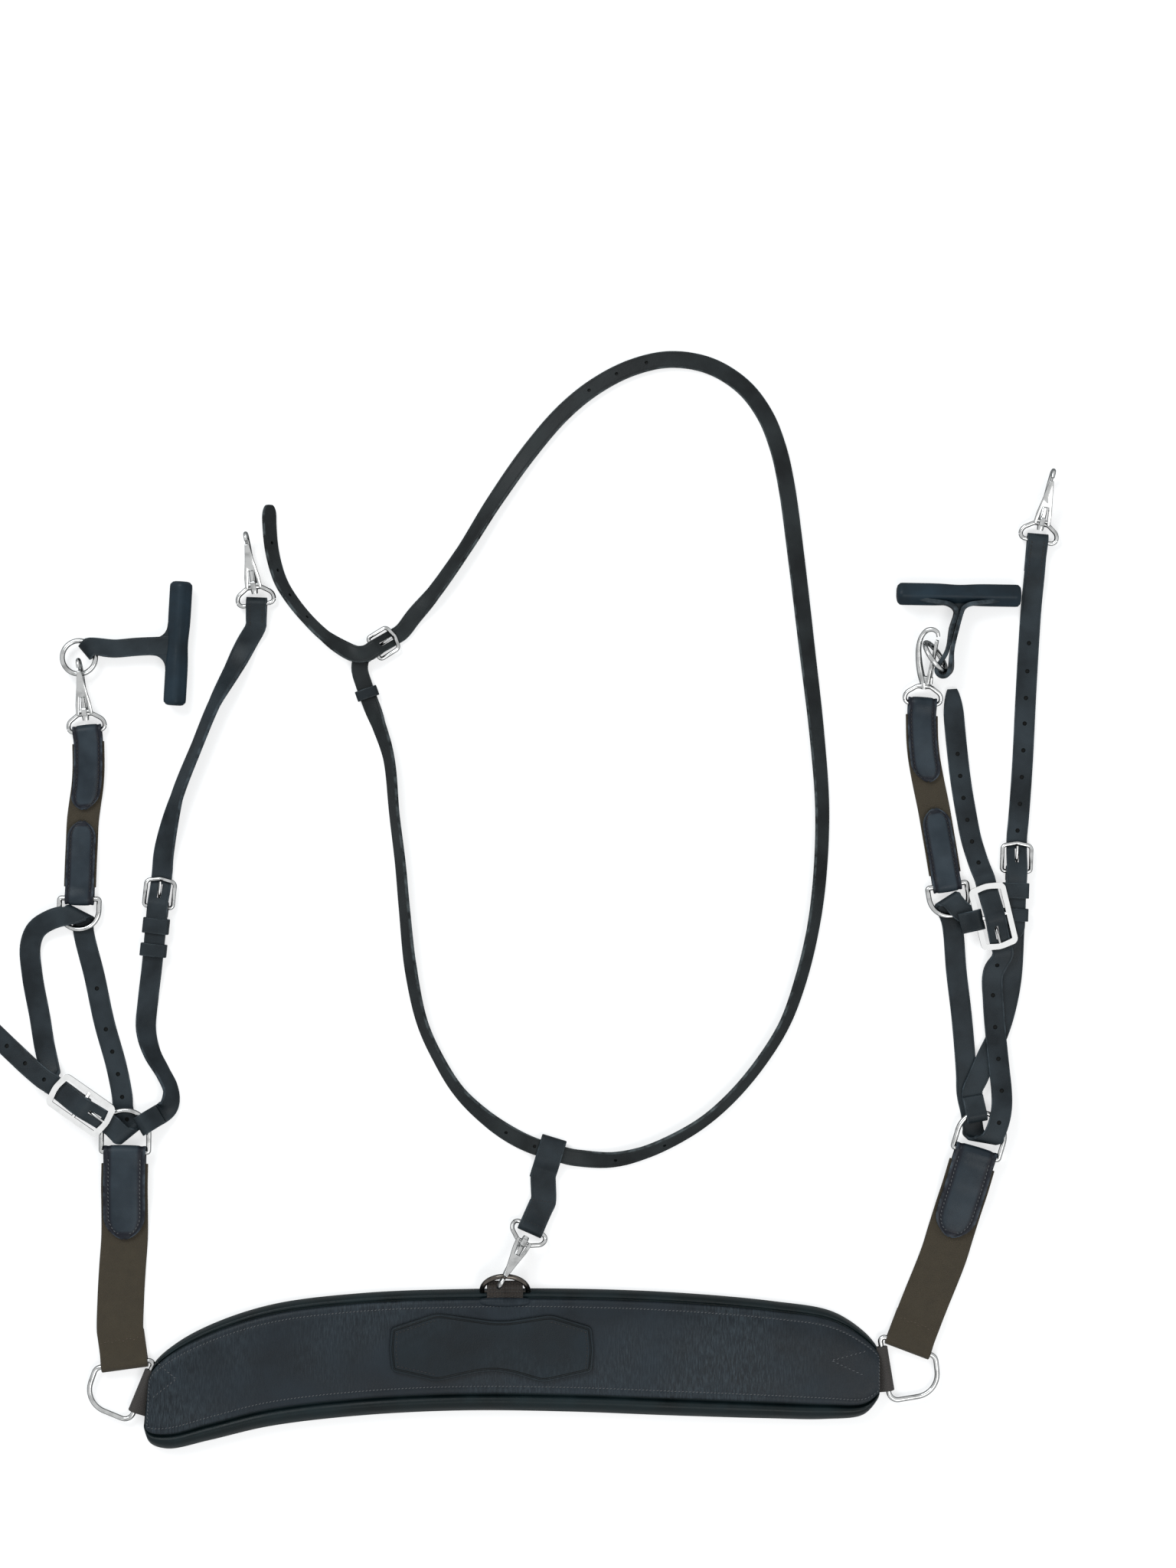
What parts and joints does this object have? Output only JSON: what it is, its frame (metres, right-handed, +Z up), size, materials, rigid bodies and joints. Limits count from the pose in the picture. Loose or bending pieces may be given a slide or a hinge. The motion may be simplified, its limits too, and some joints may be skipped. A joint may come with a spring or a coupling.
{
  "type": "training breastplate",
  "caption": "Padded black leather chest piece with elastic side branches, ring-linked loop belts, girth straps with snap hooks, toggles and a buckled neck strap.",
  "frame": {"origin": "the middle of the chest pad's flat back, on the surface it lies on", "axes": "+Z up out of the pad's face, +Y from the chest pad towards the neck strap, +X towards the right-hand branch as pictured"},
  "size_m": [0.8508, 0.8591, 0.0373],
  "materials": {
    "pad_leather": "soft semi-gloss black",
    "face_leather": "smooth semi-gloss black",
    "patch_leather": "smooth semi-gloss black",
    "webbing": "matt woven black",
    "elastic": "matt ribbed olive-brown",
    "strap_leather": "satin black",
    "tab_leather": "satin blue-black",
    "toggle_leather": "rolled satin blue-black",
    "steel": "polished",
    "dark_steel": "polished, tarnished dark"
  },
  "bodies": {
    "pad": {"pad_backing": "pad_leather", "pad_face_panel": "face_leather", "pad_patch": "patch_leather", "right_end_chape": "webbing", "left_end_chape": "webbing", "centre_chape": "webbing"},
    "centre_ring": {"centre_dee": "dark_steel"},
    "centre_snap": {"centre_snap_frame": "steel"},
    "centre_snap_lever": {"centre_snap_lever": "steel"},
    "neck": {"neck_loop_tab": "strap_leather", "neck_strap": "strap_leather", "neck_buckle_frame": "steel"},
    "neck_tongue": {"neck_buckle_tongue": "steel"},
    "neck_keeper": {"neck_keeper": "strap_leather"},
    "right_end_ring": {"right_end_dee": "steel"},
    "right_lower_elastic": {"right_wide_elastic": "elastic", "right_elastic_tab": "tab_leather"},
    "right_lower_ring": {"right_lower_ring": "steel"},
    "right_belt": {"right_loop_strap": "strap_leather", "right_loop_buckle_frame": "steel"},
    "right_belt_tongue": {"right_loop_buckle_tongue": "steel"},
    "right_upper_ring": {"right_upper_ring": "steel"},
    "right_upper_elastic": {"right_upper_elastic": "elastic", "right_upper_tab_low": "tab_leather", "right_upper_tab_high": "tab_leather"},
    "right_clip": {"right_clip_frame": "steel"},
    "right_clip_lever": {"right_clip_lever": "steel"},
    "right_toggle_ring": {"right_toggle_ring": "steel"},
    "right_toggle": {"right_toggle": "toggle_leather"},
    "right_girth": {"right_girth_strap": "strap_leather", "right_girth_buckle_strap": "strap_leather", "right_girth_buckle_frame": "steel"},
    "right_girth_tongue": {"right_girth_buckle_tongue": "steel"},
    "right_girth_keeper": {"right_girth_keeper": "strap_leather"},
    "right_girth_snap": {"right_girth_snap_frame": "steel"},
    "right_girth_lever": {"right_girth_snap_lever": "steel"},
    "left_end_ring": {"left_end_dee": "steel"},
    "left_lower_elastic": {"left_wide_elastic": "elastic", "left_elastic_tab": "tab_leather"},
    "left_lower_ring": {"left_lower_ring": "steel"},
    "left_belt": {"left_loop_strap": "strap_leather", "left_loop_buckle_frame": "steel"},
    "left_belt_tongue": {"left_loop_buckle_tongue": "steel"},
    "left_upper_ring": {"left_upper_ring": "steel"},
    "left_upper_elastic": {"left_upper_elastic": "elastic", "left_upper_tab_low": "tab_leather", "left_upper_tab_high": "tab_leather"},
    "left_clip": {"left_clip_frame": "steel"},
    "left_clip_lever": {"left_clip_lever": "steel"},
    "left_toggle_ring": {"left_toggle_ring": "steel"},
    "left_toggle": {"left_toggle": "toggle_leather"},
    "left_girth": {"left_girth_strap": "strap_leather", "left_girth_buckle_strap": "strap_leather", "left_girth_buckle_frame": "steel"},
    "left_girth_tongue": {"left_girth_buckle_tongue": "steel"},
    "left_girth_keeper": {"left_girth_keeper": "strap_leather"},
    "left_girth_snap": {"left_girth_snap_frame": "steel"},
    "left_girth_lever": {"left_girth_snap_lever": "steel"}
  },
  "joints": [
    {"name": "centre_ring_hinge", "type": "hinge", "parent": "pad", "child": "centre_ring", "pos_m": [0, 0.047, 0.009], "axis": [-1, 0, 0], "range_deg": [-30, 40]},
    {"name": "centre_snap_hinge", "type": "hinge", "parent": "centre_ring", "child": "centre_snap", "pos_m": [0, 0.06185, 0.02385], "axis": [0.866, -0.5, 0], "range_deg": [-2, 40]},
    {"name": "centre_lever_hinge", "type": "hinge", "parent": "centre_snap", "child": "centre_snap_lever", "pos_m": [0.01415, 0.08635, 0.01549], "axis": [0.866, -0.5, 0], "range_deg": [-8, 0], "stiffness_Nm_per_rad": 0.05},
    {"name": "neck_hinge", "type": "hinge", "parent": "centre_snap", "child": "neck", "pos_m": [0.02046, 0.09728, 0.00502], "axis": [-0.866, 0.5, 0], "range_deg": [-40, 0]},
    {"name": "neck_tongue_hinge", "type": "hinge", "parent": "neck", "child": "neck_tongue", "pos_m": [-0.1026, 0.5502, 0.0049], "axis": [-0.5299, 0.848, 0], "range_deg": [-15, 8]},
    {"name": "neck_keeper_slide", "type": "slide", "parent": "neck", "child": "neck_keeper", "axis": [0.3336, -0.9427, 0], "range_m": [-0.008, 0.004]},
    {"name": "right_end_ring_hinge", "type": "hinge", "parent": "pad", "child": "right_end_ring", "pos_m": [0.297, -0.0126, 0.0062], "axis": [-0.1633, 0.9866, 0], "range_deg": [-40, 0]},
    {"name": "right_shoulder_hinge", "type": "hinge", "parent": "right_end_ring", "child": "right_lower_elastic", "pos_m": [0.31527, 0.00502, 0.0062], "axis": [-0.9354, 0.3535, 0], "range_deg": [-15, 0]},
    {"name": "right_lower_ring_hinge", "type": "hinge", "parent": "right_lower_elastic", "child": "right_lower_ring", "pos_m": [0.3675, 0.156, 0.0093], "axis": [-0.9583, 0.2857, 0], "range_deg": [-25, 0]},
    {"name": "right_belt_hinge", "type": "hinge", "parent": "right_lower_ring", "child": "right_belt", "pos_m": [0.37678, 0.18715, 0.0093], "axis": [0, 0, 1], "range_deg": [0, 0.5]},
    {"name": "right_belt_tongue_hinge", "type": "hinge", "parent": "right_belt", "child": "right_belt_tongue", "pos_m": [0.381, 0.3414, 0.0132], "axis": [0.9724, 0.2334, 0], "range_deg": [-2, 6]},
    {"name": "right_upper_ring_hinge", "type": "hinge", "parent": "right_belt", "child": "right_upper_ring", "pos_m": [0.34952, 0.34172, 0.0052], "axis": [0.9866, 0.1633, 0], "range_deg": [-4, 4]},
    {"name": "right_upper_elastic_hinge", "type": "hinge", "parent": "right_upper_ring", "child": "right_upper_elastic", "pos_m": [0.3456, 0.3654, 0.0052], "axis": [0.9866, 0.1633, 0], "range_deg": [-10, 30]},
    {"name": "right_clip_hinge", "type": "hinge", "parent": "right_upper_elastic", "child": "right_clip", "pos_m": [0.3264, 0.5076, 0.0049], "axis": [-0.9976, 0.0698, 0], "range_deg": [-30, 10]},
    {"name": "right_clip_lever_hinge", "type": "hinge", "parent": "right_clip", "child": "right_clip_lever", "pos_m": [0.33116, 0.52576, 0.01029], "axis": [-0.2739, -0.2069, 0.9392], "range_deg": [-6, 0], "stiffness_Nm_per_rad": 0.05},
    {"name": "right_toggle_ring_hinge", "type": "hinge", "parent": "right_clip", "child": "right_toggle_ring", "pos_m": [0.32794, 0.55458, 0.0157], "axis": [-0.2739, -0.2069, 0.9392], "range_deg": [0, 25]},
    {"name": "right_toggle_hinge", "type": "hinge", "parent": "right_toggle_ring", "child": "right_toggle", "pos_m": [0.34243, 0.53434, 0.01547], "axis": [-0.2739, -0.2069, 0.9392], "range_deg": [-0.5, 6]},
    {"name": "right_girth_hinge", "type": "hinge", "parent": "right_lower_ring", "child": "right_girth", "pos_m": [0.36819, 0.18645, 0.0093], "axis": [0, 0, 1], "range_deg": [-2, 0]},
    {"name": "right_girth_tongue_hinge", "type": "hinge", "parent": "right_girth", "child": "right_girth_tongue", "pos_m": [0.3998, 0.3763, 0.0049], "axis": [-0.9994, 0.0349, 0], "range_deg": [-2, 6]},
    {"name": "right_girth_keeper_slide", "type": "slide", "parent": "right_girth", "child": "right_girth_keeper", "axis": [0.0349, 0.9994, 0], "range_m": [-0.007, 0.002]},
    {"name": "right_girth_snap_hinge", "type": "hinge", "parent": "right_girth", "child": "right_girth_snap", "pos_m": [0.4164, 0.6348, 0.0049], "axis": [-0.9781, 0.2079, 0], "range_deg": [-40, 10]},
    {"name": "right_girth_lever_hinge", "type": "hinge", "parent": "right_girth_snap", "child": "right_girth_lever", "pos_m": [0.41959, 0.64981, 0.01069], "axis": [-0.9781, 0.2079, 0], "range_deg": [-8, 0], "stiffness_Nm_per_rad": 0.05},
    {"name": "left_end_ring_hinge", "type": "hinge", "parent": "pad", "child": "left_end_ring", "pos_m": [-0.2865, -0.0285, 0.0062], "axis": [-0.2857, -0.9583, 0], "range_deg": [-40, 0]},
    {"name": "left_shoulder_hinge", "type": "hinge", "parent": "left_end_ring", "child": "left_lower_elastic", "pos_m": [-0.30242, -0.00873, 0.0062], "axis": [-0.9724, -0.2334, 0], "range_deg": [-15, 0]},
    {"name": "left_lower_ring_hinge", "type": "hinge", "parent": "left_lower_elastic", "child": "left_lower_ring", "pos_m": [-0.2982, 0.1572, 0.0093], "axis": [-0.9903, 0.1392, 0], "range_deg": [-25, 0]},
    {"name": "left_belt_hinge", "type": "hinge", "parent": "left_lower_ring", "child": "left_belt", "pos_m": [-0.29368, 0.18938, 0.0093], "axis": [-0.9903, 0.1392, 0], "range_deg": [-0.5, 10]},
    {"name": "left_belt_tongue_hinge", "type": "hinge", "parent": "left_belt", "child": "left_belt_tongue", "pos_m": [-0.3305, 0.1941, 0.016], "axis": [0.5736, 0.8191, 0], "range_deg": [-2, 6]},
    {"name": "left_upper_ring_hinge", "type": "hinge", "parent": "left_belt", "child": "left_upper_ring", "pos_m": [-0.33384, 0.33101, 0.0052], "axis": [0.9994, -0.0349, 0], "range_deg": [-0.5, 2]},
    {"name": "left_upper_elastic_hinge", "type": "hinge", "parent": "left_upper_ring", "child": "left_upper_elastic", "pos_m": [-0.333, 0.355, 0.0052], "axis": [0.9994, -0.0349, 0], "range_deg": [-10, 30]},
    {"name": "left_clip_hinge", "type": "hinge", "parent": "left_upper_elastic", "child": "left_clip", "pos_m": [-0.327, 0.486, 0.0049], "axis": [-0.9945, -0.1045, 0], "range_deg": [-30, 10]},
    {"name": "left_clip_lever_hinge", "type": "hinge", "parent": "left_clip", "child": "left_clip_lever", "pos_m": [-0.32861, 0.50136, 0.01042], "axis": [-0.9945, -0.1045, 0], "range_deg": [-8, 0], "stiffness_Nm_per_rad": 0.05},
    {"name": "left_toggle_ring_hinge", "type": "hinge", "parent": "left_clip", "child": "left_toggle_ring", "pos_m": [-0.33169, 0.53064, 0.0086], "axis": [-0.9945, -0.1045, 0], "range_deg": [-40, 10]},
    {"name": "left_toggle_hinge", "type": "hinge", "parent": "left_toggle_ring", "child": "left_toggle", "pos_m": [-0.32393, 0.55121, 0.00817], "axis": [-0.6428, 0.7658, -0.0179], "range_deg": [-5, 3.5]},
    {"name": "left_girth_hinge", "type": "hinge", "parent": "left_lower_ring", "child": "left_girth", "pos_m": [-0.28108, 0.17948, 0.0093], "axis": [-0.515, 0.8572, 0], "range_deg": [-45, 10]},
    {"name": "left_girth_tongue_hinge", "type": "hinge", "parent": "left_girth", "child": "left_girth_tongue", "pos_m": [-0.2715, 0.3485, 0.0049], "axis": [-0.9945, 0.1045, 0], "range_deg": [-2, 6]},
    {"name": "left_girth_keeper_slide", "type": "slide", "parent": "left_girth", "child": "left_girth_keeper", "axis": [0.1045, 0.9945, 0], "range_m": [-0.011, 0.002]},
    {"name": "left_girth_snap_hinge", "type": "hinge", "parent": "left_girth", "child": "left_girth_snap", "pos_m": [-0.1945, 0.585, 0.0049], "axis": [-0.9903, -0.1392, 0], "range_deg": [-40, 10]},
    {"name": "left_girth_lever_hinge", "type": "hinge", "parent": "left_girth_snap", "child": "left_girth_lever", "pos_m": [-0.19664, 0.60019, 0.01069], "axis": [-0.9903, -0.1392, 0], "range_deg": [-8, 0], "stiffness_Nm_per_rad": 0.05}
  ]
}
